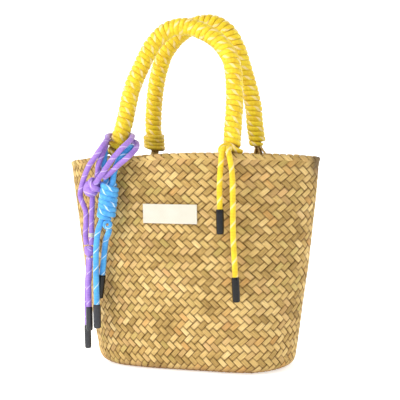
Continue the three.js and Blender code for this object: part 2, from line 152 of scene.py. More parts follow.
PURPLE_STRAND = [
    (-85.2, -66, 179), (-85.4, -65.4, 174.4), (-86.4, -64.6, 160), (-87, -64.1, 147), (-87.2, -64, 137),
    (-87.3, -64, 127.2),
]
PURPLE_LEFT = [
    (-91.4, -62.2, 114.6), (-92, -61, 104), (-93.2, -60.9, 89.5), (-94, -60.9, 66),
    (-93.6, -60.9, 44.8),
]
PURPLE_RIGHT = [
    (-88, -65.8, 114.4), (-88.6, -66.5, 104), (-89.6, -66.5, 90), (-89.4, -66.5, 64.6),
]
BLUE_LOOP = [
    (-62, -74.6, 184.5), (-60.8, -74, 189.5), (-59.4, -71.6, 202.5), (-55, -71.8, 212.5),
    (-50, -72.2, 219), (-44.6, -66, 224.6), (-47.5, -54, 225.8), (-54.6, -40.8, 225.8), (-64.8, -36, 224.6),
    (-74, -39.6, 222.6), (-77.8, -48.2, 220.4), (-76, -55, 219.6), (-72.6, -62, 220.6),
    (-70.9, -67.4, 219.8), (-70.6, -70, 214.4), (-71, -69.6, 205), (-69.4, -70.4, 197),
    (-67, -72.2, 190.8), (-66, -73.6, 185.5),
]
BLUE_NEAR = [
    (-71.4, -74.4, 157), (-72.6, -74.2, 152.6), (-76.4, -73.4, 143), (-79.3, -71.5, 126),
    (-80.1, -70.5, 97), (-79.8, -70, 68),
]
BLUE_FAR = [
    (-64.4, -74, 145.4), (-65.6, -73, 141), (-71, -65.5, 134), (-73.6, -63.4, 122),
    (-75.6, -62.6, 106), (-76.8, -62.5, 97),
]
KNOT_MIDDLE, KNOT_HALF = (-86, -67, 184.4), (8.2, 7.4, 8.8)
KNOT_NECK_MIDDLE, KNOT_NECK_AXIS = (-77.4, -74.6, 188.6), (0.66, -0.3, 0.74)
KNOT_HEART_MIDDLE, KNOT_HEART_HALF = (-78.6, -73.6, 187.6), (6.4, 5.2, 6.0)
SMALL_KNOT_MIDDLE, SMALL_KNOT_HALF = (-89.6, -64, 120.8), (5.4, 5.0, 5.8)
SMALL_NECK_MIDDLE, SMALL_NECK_AXIS = (-89.6, -64, 123.2), (0.25, 0.0, 1.0)
TIE_MIDDLE = (-87.2, -64, 137)
COIL_TOP, COIL_BOTTOM = (-63.2, -74.6, 188.2), (-68, -74.6, 153.4)
COIL_DIAMETER = 18.8
EYE_MIDDLE, EYE_DIAMETER, EYE_CORD = (-65.4, -76.4, 149.4), 10.6, 4.2

# Cap at a cord's end: outline as radius and distance along it, and how far it stands out over the cord
CAP_PROFILE = [
    (0.2, 0.0), (1.55, 0.0), (1.8, 0.25), (1.86, 0.9), (1.9, 3.0), (1.92, 8.0), (1.9, 16.0),
    (1.86, 21.5), (1.78, 22.9), (1.6, 23.6), (1.3, 23.85), (1.0, 23.7), (0.85, 23.2), (0.1, 23.1),
]
CAP_WIDEST = 1.92
CAP_OVER_CORD = 1.0

# Label, and how far its back and front stand off the wall
LABEL = {"width": 55, "height": 19, "x": -4, "z": 160.5}
LABEL_BACK, LABEL_FRONT = 0.45, 1.3

# Colours and light
WHITE = (1.0, 1.0, 1.0, 1.0)
STRAW_TONES = [(0.0, "#97783E"), (0.32, "#C09E5C"), (0.62, "#DAB976"), (1.0, "#F4DA9F")]
FLOAT_TONES, FLOAT_TONE_LOW, STRAND_TONES, FIBRE_TONES, BLOTCH_TONES = 0.56, 0.06, 0.12, 1.25, 0.75
STRAW_ORANGE, STRAW_GREEN, STRAW_TAN = "#CF9450", "#B5A258", "#CBA270"
# Colours of painted shade: in the gaps at a float's edges and ends, at the foot and at the rim's right end
STRAW_GAP_SHADE, STRAW_FOOT_SHADE, STRAW_RIM_END_SHADE = "#5F4018", "#704826", "#4A3416"
CORD_BROWN = "#8A6A2A"
BACKDROP_GLOW = 0.56
WORLD_LIGHT = 0.42

# Painted shade on the straw: heights of the foot, and places and heights of the rim's right end, in metres
FOOT_SHADE_HEIGHTS = (0.001, 0.009)
RIM_SHADE_PLACES = (0.124, 0.132)
RIM_SHADE_HEIGHTS = (0.185, 0.212)

# Braid of the cords: waves in one lead of the tracer, and waves round the cord
BRAID_LENGTHWISE, BRAID_CROSSWISE = 3.0, 8.0

# Thread spacing of the cloth, in millimetres
CLOTH_WEAVE = 0.5

# Camera: place in metres, direction in degrees, and sensor and lens in millimetres
CAMERA_PLACE = (0.2157, -0.8222, 0.224)
CAMERA_YAW, CAMERA_PITCH = 14.07, 3.63
CAMERA_SENSOR, CAMERA_LENS = 36, 72.45


def add_object(name, data):
    made = bpy.data.objects.new(name, data)
    bpy.context.scene.collection.objects.link(made)
    return made


# Camera at the photograph's viewing angle
def add_camera():
    data = bpy.data.cameras.new("camera")
    data.sensor_width = CAMERA_SENSOR
    data.lens = CAMERA_LENS
    camera = add_object("camera", data)
    yaw, pitch = math.radians(CAMERA_YAW), math.radians(CAMERA_PITCH)
    ahead = Vector((-math.sin(yaw) * math.cos(pitch), math.cos(yaw) * math.cos(pitch), -math.sin(pitch)))
    camera.location = CAMERA_PLACE
    camera.rotation_euler = ahead.to_track_quat("-Z", "Y").to_euler()
    bpy.context.scene.camera = camera


# Smooth line through given points, sampled at even steps
def smooth_line(points, step):
    p = np.array(points, float)
    p = np.vstack([2 * p[0] - p[1], p, 2 * p[-1] - p[-2]])
    knots = np.concatenate([[0], np.cumsum(np.linalg.norm(np.diff(p, axis=0), axis=1) ** 0.5)])
    dense = []
    for i in range(1, len(p) - 2):
        t = np.linspace(knots[i], knots[i + 1], 60, endpoint=False)[:, None]
        k0, k1, k2, k3 = knots[i - 1], knots[i], knots[i + 1], knots[i + 2]
        between = lambda low, high, a, b: (high - t) / (high - low) * a + (t - low) / (high - low) * b
        before = between(k0, k1, p[i - 1], p[i])
        here = between(k1, k2, p[i], p[i + 1])
        after = between(k2, k3, p[i + 1], p[i + 2])
        dense.append(between(k1, k2, between(k0, k2, before, here), between(k1, k3, here, after)))
    dense = np.vstack(dense + [p[-2][None, :]])
    return even_steps(dense, step)


# Distance of each point of a line from its start
def run_along(line):
    return np.concatenate([[0], np.cumsum(np.linalg.norm(np.diff(line, axis=0), axis=1))])


# The same line with its points at even steps of its length
def even_steps(line, step):
    along = run_along(line)
    count = max(2, int(round(along[-1] / step)) + 1)
    places = np.linspace(0, along[-1], count)
    return np.stack([np.interp(places, along, line[:, k]) for k in range(3)], axis=1)


def unit(v):
    return v / np.maximum(np.linalg.norm(v, axis=-1, keepdims=True), 1e-12)


def line_length(line):
    return float(run_along(line)[-1])


def tangents(line):
    return unit(np.gradient(line, axis=0))


# Two directions square to a line, carried along it without twist
def carried_frame(line):
    along = tangents(line)
    a = np.zeros_like(line)
    previous = np.array([0.0, 1.0, 0.0])
    for i, t in enumerate(along):
        previous = previous - t * previous.dot(t)
        previous = previous / np.linalg.norm(previous)
        a[i] = previous
    return a, np.cross(along, a)


# Closed meshes from rings of the shape (pieces, rings, points, 3), with texture places along and around them
def mesh_from_rings(name, rings, along, around, material):
    pieces, count, sides, _ = rings.shape
    first_point = np.arange(pieces)[:, None, None] * count * sides
    row = np.arange(count - 1)[None, :, None] * sides
    here = np.arange(sides)[None, None, :]
    beside = (here + 1) % sides
    corners = [row + here, row + beside, row + sides + beside, row + sides + here]
    quads = np.stack([first_point + corner for corner in corners], -1)
    shape = quads.shape[:3]
    u0 = np.broadcast_to(along[:, :-1, None], shape)
    u1 = np.broadcast_to(along[:, 1:, None], shape)
    v0 = np.broadcast_to(around[:, None, :-1], shape)
    v1 = np.broadcast_to(around[:, None, 1:], shape)
    uv = np.stack([np.stack(pair, -1) for pair in ((u0, v0), (u0, v1), (u1, v1), (u1, v0))], -2)
    quads = quads.reshape(-1, 4)
    uv = uv.reshape(-1, 4, 2)
    inside_out = faces_inward(rings[0])
    if inside_out:
        quads = quads[:, ::-1]
        uv = uv[:, ::-1]
    loops = [quads.ravel()]
    loop_uv = [uv.reshape(-1, 2)]
    sizes = [np.full(len(quads), 4)]
    base = np.arange(pieces)[:, None] * count * sides
    start = base + np.arange(sides)[None, ::-1]
    end = base + (count - 1) * sides + np.arange(sides)[None, :]
    if inside_out:
        start, end = start[:, ::-1], end[:, ::-1]
    for closing, at in ((start, 0), (end, -1)):
        loops.append(closing.ravel())
        loop_uv.append(np.stack([np.repeat(along[:, at], sides), np.repeat(around.mean(1), sides)], -1))
        sizes.append(np.full(pieces, sides))
    loops, sizes, loop_uv = (np.concatenate(table) for table in (loops, sizes, loop_uv))
    return finish_mesh(name, rings.reshape(-1, 3) * MM, loops, sizes, loop_uv, material)


# Whether the faces between the rings of one piece would point into it
def faces_inward(rings):
    outward = rings[:-1] - rings.mean((0, 1))
    beside = np.roll(rings[:-1], -1, axis=1) - rings[:-1]
    onward = rings[1:] - rings[:-1]
    return np.einsum("rcx,rcx->", outward, np.cross(beside, onward)) < 0


def finish_mesh(name, vertices, loops, sizes, uv, material):
    mesh = bpy.data.meshes.new(name)
    mesh.vertices.add(len(vertices))
    mesh.vertices.foreach_set("co", np.ascontiguousarray(vertices, np.float32).ravel())
    mesh.loops.add(len(loops))
    mesh.loops.foreach_set("vertex_index", np.ascontiguousarray(loops, np.int32))
    starts = np.concatenate([[0], np.cumsum(sizes)[:-1]])
    mesh.polygons.add(len(sizes))
    mesh.polygons.foreach_set("loop_start", starts.astype(np.int32))
    mesh.polygons.foreach_set("loop_total", sizes.astype(np.int32))
    mesh.polygons.foreach_set("use_smooth", np.ones(len(sizes), bool))
    layer = mesh.uv_layers.new(name="strand")
    layer.data.foreach_set("uv", np.ascontiguousarray(uv, np.float32).ravel())
    mesh.update(calc_edges=True)
    mesh.materials.append(material)
    return add_object(name, mesh)


# Puts a piece on the part's one body and hides the solid that it stands for
def place(piece, node):
    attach(piece, "root")
    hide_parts(node)


# Joins several meshes into the first
def join(pieces, name):
    bpy.ops.object.select_all(action="DESELECT")
    for piece in pieces:
        piece.select_set(True)
    bpy.context.view_layer.objects.active = pieces[0]
    bpy.ops.object.join()
    pieces[0].name = name
    return pieces[0]


def ring_angles(sides):
    return np.arange(sides) / sides * 2 * np.pi


# Tube along a line: a and b point across it and up from it, fullness squares it off, and scale thins it
def tube(name, line, width, height, a, b, sides, material, fullness=1.0, scale=None):
    angle = ring_angles(sides)
    across = np.sign(np.cos(angle)) * np.abs(np.cos(angle)) ** fullness
    up = np.sign(np.sin(angle)) * np.abs(np.sin(angle)) ** fullness
    size = np.ones(len(line)) if scale is None else scale
    sideways = a[:, None, :] * across[None, :, None] * width / 2
    upwards = b[:, None, :] * up[None, :, None] * height / 2
    rings = line[:, None, :] + size[:, None, None] * (sideways + upwards)
    around = np.linspace(0, 1, sides + 1)[None, :]
    return mesh_from_rings(name, rings[None], run_along(line)[None], around, material)


# Colour code as the four linear values of a colour socket
def linear(code):
    parts = [int(code[i:i + 2], 16) / 255 for i in (1, 3, 5)]
    return tuple(c / 12.92 if c <= 0.04045 else ((c + 0.055) / 1.055) ** 2.4 for c in parts) + (1.0,)


# Small helper that adds nodes to one material and links them
class Shader:
    def __init__(self, name):
        self.material = bpy.data.materials.new(name)
        self.material.use_nodes = True
        self.tree = self.material.node_tree
        self.main = self.tree.nodes["Principled BSDF"]

    def put(self, socket, value):
        if isinstance(value, bpy.types.NodeSocket):
            self.tree.links.new(value, socket)
        else:
            socket.default_value = value

    # Adds a node: values go to its first inputs, and those in named to inputs by name or number
    def node(self, kind, *values, named=None, **settings):
        made = self.tree.nodes.new(kind)
        for key, value in settings.items():
            setattr(made, key, value)
        for key, value in [*enumerate(values), *(named or {}).items()]:
            self.put(made.inputs[key], value)
        return made

    def math(self, operation, *values):
        return self.node("ShaderNodeMath", *values, operation=operation).outputs[0]

    def plus(self, a, b):
        return self.math("ADD", a, b)

    def minus(self, a, b):
        return self.math("SUBTRACT", a, b)

    def times(self, a, b):
        return self.math("MULTIPLY", a, b)

    def wave(self, value, waves):
        return self.math("SINE", self.times(value, 2 * math.pi * waves))

    # How far a value from 0 to 1 lies from its middle, times an amount
    def swing(self, value, amount):
        return self.times(self.minus(value, 0.5), amount)

    def step(self, value, low, high):
        named = {"Value": value, "From Min": low, "From Max": high}
        return self.node("ShaderNodeMapRange", named=named, interpolation_type="SMOOTHSTEP").outputs["Result"]

    def mix(self, share, a, b, blend="MIX"):
        named = {0: share, 6: a, 7: b}
        return self.node("ShaderNodeMix", named=named, data_type="RGBA", blend_type=blend).outputs[2]

    # Lays a second colour over a colour where a mask is high
    def tint(self, color, mask, amount, code):
        return self.mix(self.times(mask, amount), color, linear(code))

    def split(self, vector):
        return self.node("ShaderNodeSeparateXYZ", vector).outputs

    def uv(self):
        return self.split(self.node("ShaderNodeUVMap", uv_map="strand").outputs[0])[:2]

    def vector(self, x, y, z):
        return self.node("ShaderNodeCombineXYZ", x, y, z).outputs[0]

    def noise(self, vector, scale, detail=2.0, roughness=0.5):
        named = {"Vector": vector, "Scale": scale, "Detail": detail, "Roughness": roughness}
        return self.node("ShaderNodeTexNoise", named=named).outputs["Fac"]

    # Three random values from 0 to 1 that depend only on the vector
    def white(self, vector):
        made = self.node("ShaderNodeTexWhiteNoise", vector, noise_dimensions="3D")
        return self.node("ShaderNodeSeparateColor", made.outputs["Color"]).outputs

    def object_place(self):
        return self.node("ShaderNodeTexCoord").outputs["Object"]

    def ramp(self, value, stops):
        made = self.node("ShaderNodeValToRGB", value)
        elements = made.color_ramp.elements
        while len(elements) < len(stops):
            elements.new(0.5)
        for element, (place_at, code) in zip(elements, stops):
            element.position = place_at
            element.color = linear(code)
        return made.outputs["Color"]

    def bump(self, height, strength, distance):
        named = {"Height": height, "Strength": strength, "Distance": distance}
        self.put(self.main.inputs["Normal"], self.node("ShaderNodeBump", named=named).outputs[0])

    def finish(self, color, roughness, specular):
        self.put(self.main.inputs["Base Color"], color)
        self.put(self.main.inputs["Roughness"], roughness)
        self.main.inputs["Specular IOR Level"].default_value = specular
        return self.material


# Plaited straw: every float has its own tone, with fibres along it and painted shade at its edges and ends
def straw_material(name, family, dark=1.0):
    s = Shader(name)
    u, v = s.uv()
    float_id = s.math("FLOOR", s.times(u, 1 / FLOAT_CELLS))
    strand_id = s.math("FLOOR", v)
    tone, kind, other = s.white(s.vector(float_id, strand_id, family))
    strand_tone, _, _ = s.white(s.vector(strand_id, 3.7, family))
    fibre = s.noise(s.vector(s.times(u, 0.6), s.times(v, 6.5), family), 1.0, 5.0, 0.66)
    blotch = s.noise(s.object_place(), 22.0, 3.0)
    value = s.math("MULTIPLY_ADD", tone, FLOAT_TONES, FLOAT_TONE_LOW)
    value = s.plus(value, s.times(strand_tone, STRAND_TONES))
    value = s.plus(value, s.swing(fibre, FIBRE_TONES))
    value = s.plus(value, s.swing(blotch, BLOTCH_TONES))
    color = s.ramp(value, STRAW_TONES)
    kind = s.plus(kind, s.swing(blotch, 0.5))
    color = s.tint(color, s.step(kind, 0.9, 1.02), 0.5, STRAW_ORANGE)
    color = s.tint(color, s.minus(1.0, s.step(kind, -0.02, 0.16)), 0.5, STRAW_GREEN)
    color = s.tint(color, s.step(other, 0.8, 0.97), 0.4, STRAW_TAN)
    color = straw_shadows(s, u, v, color)
    # Painted shade: a value below 1 darkens the whole straw, for the base plait and the handle cores
    if dark < 1.0:
        color = s.mix(1.0, color, (dark, dark, dark, 1.0), "MULTIPLY")
    s.bump(fibre, 0.5, 0.0006)
    return s.finish(color, s.math("MULTIPLY_ADD", fibre, 0.25, 0.5), 0.3)


# Painted shade on the straw: darker at a float's edges and ends, at the basket's foot and at the right end of
# its rim
def straw_shadows(s, u, v, color):
    across = s.math("ABSOLUTE", s.minus(s.math("FRACT", v), 0.5))
    color = s.tint(color, s.step(across, 0.38, 0.5), 0.75, STRAW_GAP_SHADE)
    ends = s.math("ABSOLUTE", s.wave(u, 0.5 / FLOAT_CELLS))
    color = s.tint(color, s.minus(1.0, s.step(ends, 0.0, 0.55)), 0.75, STRAW_GAP_SHADE)
    x, _, z = s.split(s.object_place())
    color = s.tint(color, s.minus(1.0, s.step(z, *FOOT_SHADE_HEIGHTS)), 0.6, STRAW_FOOT_SHADE)
    right = s.times(s.step(x, *RIM_SHADE_PLACES), s.step(z, *RIM_SHADE_HEIGHTS))
    return s.tint(color, right, 0.8, STRAW_RIM_END_SHADE)


def shade_material():
    s = Shader("straw_shade")
    color = s.mix(s.noise(s.object_place(), 300.0), linear("#5E4520"), linear("#80602C"))
    return s.finish(color, 0.9, 0.1)


# Braided cord: fine braid, a tracer that winds round it once in a lead, and soft blotches
def cord_material(name, base, shade, tracer, diameter, tracer_width, tracer_amount, brown=0.0):
    s = Shader(name)
    u, v = s.uv()
    turns = s.math("DIVIDE", u, math.pi * diameter)
    place_round = s.math("FRACT", s.minus(s.plus(turns, 100.0), v))
    off = s.math("ABSOLUTE", s.minus(place_round, 0.5))
    stripe = s.minus(1.0, s.step(off, tracer_width * 0.5, tracer_width))
    lengthwise = s.times(turns, BRAID_LENGTHWISE)
    crosswise = s.times(v, BRAID_CROSSWISE)
    braid = s.times(s.wave(s.plus(lengthwise, crosswise), 1), s.wave(s.minus(lengthwise, crosswise), 1))
    blotch = s.noise(s.object_place(), 120.0, 3.0)
    fine = s.noise(s.vector(s.times(u, 1.4), s.times(v, 22.0), 0.0), 1.0, 3.0)
    value = s.plus(s.math("MULTIPLY_ADD", blotch, 0.7, 0.1), s.swing(fine, 0.6))
    value = s.plus(value, s.times(braid, 0.08))
    color = s.ramp(value, [(0.15, shade), (0.6, base)])
    color = s.tint(color, s.times(stripe, s.step(fine, 0.25, 0.5)), tracer_amount, tracer)
    if brown > 0.0:
        color = s.tint(color, s.step(blotch, 0.35, 0.65), brown, CORD_BROWN)
    s.bump(s.plus(s.times(braid, 0.5), fine), 0.4, 0.0003)
    s.main.inputs["Sheen Weight"].default_value = 0.15
    return s.finish(color, s.math("MULTIPLY_ADD", fine, 0.2, 0.42), 0.4)


def cap_material(name, base, light):
    s = Shader(name)
    streak = s.noise(s.object_place(), 400.0, 2.0)
    color = s.mix(streak, linear(base), linear(light))
    return s.finish(color, s.math("MULTIPLY_ADD", streak, 0.1, 0.2), 0.35)


# Pale woven cloth, for the label and the thread
def cloth_material():
    s = Shader("label_cloth")
    u, v = s.uv()
    weave = s.times(s.wave(u, 1 / CLOTH_WEAVE), s.wave(v, 1 / CLOTH_WEAVE))
    soft = s.noise(s.object_place(), 90.0, 3.0)
    color = s.mix(soft, linear("#DFDBCE"), linear("#D4CFBE"))
    color = s.mix(s.math("MULTIPLY_ADD", weave, 0.04, 0.04), color, linear("#C8C2AE"))
    s.bump(weave, 0.25, 0.0002)
    return s.finish(color, 0.85, 0.2)


# Size and form of the basket's plan at a height
def plan_at(z):
    t = np.clip(z / BAG_HEIGHT, 0, 1)
    belly = 4 * t * (1 - t)
    blend = lambda low, high: low + (high - low) * t
    return {
        "half_width": blend(BASE_WIDTH, RIM_WIDTH) / 2 + BELLY_WIDTH / 2 * belly,
        "half_depth": blend(BASE_DEPTH, RIM_DEPTH) / 2 + BELLY_DEPTH / 2 * belly,
        "crease": blend(*CREASE),
        "sharpness": blend(*SHARPNESS),
        "shift": blend(BASE_SHIFT, RIM_SHIFT),
    }


# How far out a place lies in the plan: 1 on its outline, where the sides fold in towards both ends
def plan_gauge(u, v, plan):
    p = plan["sharpness"]
    across = np.abs(u) * 2 ** (-1 / p)
    along = np.abs(v)
    rounded = lambda distance, at: np.hypot(distance, END_ROUND * at) - END_ROUND * at
    facet = across + rounded(along, across) / rounded(1, plan["crease"]) * (1 - plan["crease"])
    return (across ** p + along ** p + facet ** p) ** (1 / p)


def plan_points(z, angle, inset):
    plan = plan_at(z)
    u, v = np.cos(angle), np.sin(angle)
    size = plan_gauge(u, v, plan)
    x = (plan["half_width"] - inset) * u / size + plan["shift"]
    y = (plan["half_depth"] - inset) * v / size
    return x, y


# Distance of the long walls from the middle plane at one place, found by halving
def wall_face(x, z, inset=0.0):
    plan = plan_at(z)
    u = (x - plan["shift"]) / (plan["half_width"] - inset)
    low, high = 0.0, 1.2
    for _ in range(40):
        middle = (low + high) / 2
        if plan_gauge(u, middle, plan) < 1:
            low = middle
        else:
            high = middle
    return (plan["half_depth"] - inset) * low


# How far the rim dips towards both ends and in front
def rim_drop(x, y, t):
    reach = np.abs(x) / (RIM_WIDTH / 2)
    end = np.where(x < 0, LEFT_DIP * reach ** LEFT_DIP_POWER, RIGHT_DIP * reach ** RIGHT_DIP_POWER)
    front = np.where(y < 0, FRONT_DIP * np.exp(-((x - FRONT_DIP_PLACE) / FRONT_DIP_SPREAD) ** 2), 0)
    return end * t + front * t ** 8


# Heights and insets of the wall's middle surface, from under the base edge up to the rim
def wall_profile():
    radius = EDGE_RADIUS - MIDDLE_INSET
    turn = np.linspace(0, np.pi / 2, 24)
    below = [(MIDDLE_INSET, EDGE_RADIUS + d) for d in np.linspace(8, 0.4, 12)]
    edge = [(EDGE_RADIUS - radius * math.cos(t), EDGE_RADIUS - radius * math.sin(t)) for t in turn]
    above = [(z, MIDDLE_INSET) for z in np.linspace(EDGE_RADIUS + 1, BAG_HEIGHT - 1.8, 230)]
    profile = np.array(below + edge + above)
    length = np.concatenate([[0], np.cumsum(np.hypot(*np.diff(profile, axis=0).T))])
    levels = np.linspace(0, length[-1], WALL_LEVELS)
    return np.interp(levels, length, profile[:, 0]), np.interp(levels, length, profile[:, 1])


# The middle surface of the wall on a fine grid, with its columns spaced as the cells of the plait
class Wall:
    def __init__(self):
        angle = np.linspace(0, 2 * np.pi, 4001)
        share = np.arange(WALL_COLUMNS) / WALL_COLUMNS
        grid = np.zeros((WALL_LEVELS, WALL_COLUMNS, 3))
        for row, (z, inset) in enumerate(zip(*wall_profile())):
            x, y = plan_points(z, angle, inset)
            cell = CELL_WIDTH + CELL_GROWTH * x
            cell_middle = (cell[1:] + cell[:-1]) / 2
            run = np.concatenate([[0], np.cumsum(np.hypot(np.diff(x), np.diff(y)) / cell_middle)])
            at = np.interp(share, run / run[-1], angle)
            x, y = plan_points(z, at, inset)
            grid[row, :, 0], grid[row, :, 1] = x, y
            grid[row, :, 2] = z - rim_drop(x, y, z / BAG_HEIGHT)
        sideways = np.roll(grid, -1, axis=1) - np.roll(grid, 1, axis=1)
        upwards = np.gradient(grid, axis=0)
        self.normals = unit(np.cross(sideways, upwards))
        s, v = np.meshgrid(share, np.linspace(0, 1, WALL_LEVELS))
        wave = sum(size * np.sin(2 * np.pi * (a * s + b * v) + lead) for size, a, b, lead in DENTS)
        fade = np.clip(v / 0.15, 0, 1) * np.clip((1 - v) / 0.04, 0, 1)
        self.grid = grid + self.normals * ((wave - DENT_SINK) * DENT_DEPTH * fade)[..., None]

    # Points and normals at shares s round the wall and v up it
    def at(self, s, v):
        x = (s % 1.0) * WALL_COLUMNS
        y = np.clip(v, 0, 1) * (WALL_LEVELS - 1)
        x0 = np.floor(x).astype(int)
        y0 = np.minimum(np.floor(y).astype(int), WALL_LEVELS - 2)
        fx, fy = (x - x0)[..., None], (y - y0)[..., None]
        x1, x0 = (x0 + 1) % WALL_COLUMNS, x0 % WALL_COLUMNS

        def pick(table):
            low = table[y0, x0] * (1 - fx) + table[y0, x1] * fx
            high = table[y0 + 1, x0] * (1 - fx) + table[y0 + 1, x1] * fx
            return low * (1 - fy) + high * fy

        return pick(self.grid), unit(pick(self.normals))


def section_heights(thickness, crown):
    return np.where(SECTION_UP > 0, thickness / 2 + crown * SECTION_UP, -thickness / 2)


# Texture places round the section of strands, one whole number for each strand
def strand_places(numbers):
    return numbers + SECTION_PLACES * 0.998 + 0.001


# Over and under of a strand in the twill: over from 0 to 2 cells, under from 2 to 4
def twill_lift(phase):
    wave = np.sin(np.pi * phase / FLOAT_CELLS)
    return np.tanh(TWILL_SNAP * wave) / np.tanh(TWILL_SNAP)


# One family of strands of the wall, all in one mesh: direction 1 rises to the right, -1 to the left
def wall_strands(wall, name, direction, material):
    steps = STEPS_PER_CELL * 2 * ROWS + 1
    each = (COLUMNS, 1, 1)
    k = np.arange(COLUMNS)[:, None, None]
    r = np.linspace(0, 2 * ROWS, steps)[None, :, None]
    width = STRAND_WIDTH * (1 + 0.05 * rng.uniform(-1, 1, each))
    sway = 0.06 * np.sin(r * rng.uniform(0.15, 0.5, each) + rng.uniform(0, 6, each))
    a = SECTION_ACROSS[None, None, :] * width + sway
    if direction > 0:
        j = k + 0.5 + a
        i = k + 0.5 + r + 0 * a
        phase = i - k
    else:
        i = k + 0.5 + a
        j = k + 0.5 - r + 0 * a
        phase = k + 1 - j
    lift = direction * twill_lift(phase)
    point, normal = wall.at((i + j) / (2 * COLUMNS), (i - j) / (2 * ROWS))
    irregular = rng.uniform(0.85, 1.15, each)
    up = section_heights(STRAND_THICKNESS, CROWN)[None, None, :] + LIFT * lift * irregular
    rings = point + normal * up[..., None]
    along = np.broadcast_to(phase[..., 0], (COLUMNS, steps)) + (0 if direction > 0 else FLOAT_CELLS)
    return mesh_from_rings(name, rings, along, strand_places(k[..., 0]), material)


# Strands folded over the rim, slanting from outside over the edge to the inside
def rim_folds(wall, material):
    turn = np.linspace(0, np.pi, 7)
    out = np.concatenate([[-0.2, 0.9, 1.3], 1.35 * np.cos(turn), [-1.2, -0.9]])
    up = np.concatenate([[0.0, 0.0, 0.0], 1.1 * np.sin(turn), [0.0, 0.0]])
    down = np.concatenate([[1.3, 0.85, 0.4], np.zeros(7), [0.9, 1.9]])
    facing = np.concatenate([np.zeros(3), turn, [np.pi, np.pi]])
    shift = np.concatenate([[0.65, 0.42, 0.2], np.linspace(0, -0.3, 7), [-0.75, -1.25]])
    steps = len(out)
    k = np.arange(COLUMNS)[:, None, None]
    width = 0.95 + 0.05 * rng.uniform(-1, 1, (COLUMNS, 1, 1))
    s = (k + shift[None, :, None] + SECTION_ACROSS[None, None, :] * width) / COLUMNS
    v = np.broadcast_to(1 - down[None, :, None] / (2 * ROWS), s.shape)
    point, normal = wall.at(s, v)
    up_axis = np.array([0.0, 0.0, 1.0])
    outward = normal * np.cos(facing)[None, :, None, None] + up_axis * np.sin(facing)[None, :, None, None]
    heights = section_heights(0.5, 0.5)[None, None, :, None] * rng.uniform(0.6, 1.3, (COLUMNS, 1, 1, 1))
    rings = point + normal * out[None, :, None, None] + up_axis * up[None, :, None, None] + outward * heights
    along = np.broadcast_to(np.linspace(0.3, 1.7, steps), (COLUMNS, steps))
    along = along + FLOAT_CELLS * rng.integers(0, 9, (COLUMNS, 1))
    return mesh_from_rings("rim_folds", rings, along, strand_places(k[..., 0]), material)


# Thin dark layer between the two strand families, so that no light passes the plait
def shade_layer(wall, material):
    columns, half = 360, 0.08
    grid_s, grid_v = np.meshgrid(np.arange(columns) / columns, np.linspace(0.0, 0.985, 60))
    point, normal = wall.at(grid_s, grid_v)
    outer = point + normal * half
    inner = point - normal * half
    middle = outer[0].mean(0)
    rings = np.concatenate([
        (middle + (outer[0] - middle) * 0.01)[None], outer, inner[::-1],
        (middle + (inner[0] - middle) * 0.01 + [0, 0, 0.2])[None],
    ])
    along = np.zeros((1, len(rings)))
    around = np.zeros((1, columns + 1))
    return mesh_from_rings("straw_shade_layer", rings[None], along, around, material)


# Where a straight strand across the base starts and ends inside its outline
def base_ends(side, run, middle):
    crossing = np.where(np.diff(np.sign(side - middle)) != 0)[0]
    share = lambda c: (middle - side[c]) / (side[c + 1] - side[c])
    ends = sorted(run[c] + (run[c + 1] - run[c]) * share(c) for c in crossing)
    return (ends[0], ends[-1]) if len(ends) > 1 else (0.0, 0.0)


# Flat plaited base of two crossing families, cut to the plan inside the base edge
def base_strands(material):
    steps = 90
    x, y = plan_points(np.array(BASE_MIDDLE_HEIGHT), np.linspace(0, 2 * np.pi, 721), BASE_INSET)
    outline = np.stack([x - BASE_SHIFT, y], 1)
    rings, along, around = [], [], []
    for family, (run_axis, side_axis) in enumerate([((1, 1), (-1, 1)), ((1, -1), (-1, -1))]):
        run_axis = np.array(run_axis) / math.sqrt(2)
        side_axis = np.array(side_axis) / math.sqrt(2)
        side, run = outline @ side_axis, outline @ run_axis
        first = int(np.ceil(side.min() / BASE_SPACING))
        last = int(np.floor(side.max() / BASE_SPACING)) - 1
        for index in range(first, last + 1):
            middle = (index + 0.5) * BASE_SPACING
            start, end = base_ends(side, run, middle)
            if end - start < BASE_SHORTEST:
                continue
            t = np.linspace(start, end, steps)
            cell = t / BASE_SPACING
            phase = cell - index if family == 0 else index + 1 - cell
            lift = twill_lift(phase) * (1 if family == 0 else -1)
            across = middle + SECTION_ACROSS * BASE_SPACING * STRAND_WIDTH
            ring = np.zeros((steps, len(across), 3))
            ring[..., :2] = (run_axis * t[:, None])[:, None, :] + side_axis * across[None, :, None]
            ring[..., 0] += BASE_SHIFT
            ring[..., 2] = BASE_MIDDLE_HEIGHT + section_heights(0.7, 0.3)[None, :] + 0.5 * lift[:, None]
            rings.append(ring)
            along.append(phase + 40)
            around.append(strand_places(index + 200))
    return mesh_from_rings("base_plait", np.array(rings), np.array(along), np.array(around), material)


# Farthest place from the middle plane where a round core still lies inside the wall
def seat_inside(x, z, radius):
    return min(
        wall_face(x + share * radius, z, STRAW_WALL) - math.sqrt(radius ** 2 - (share * radius) ** 2)
        for share in (-1, -0.75, -0.5, -0.25, 0, 0.25, 0.5, 0.75, 1)
    )


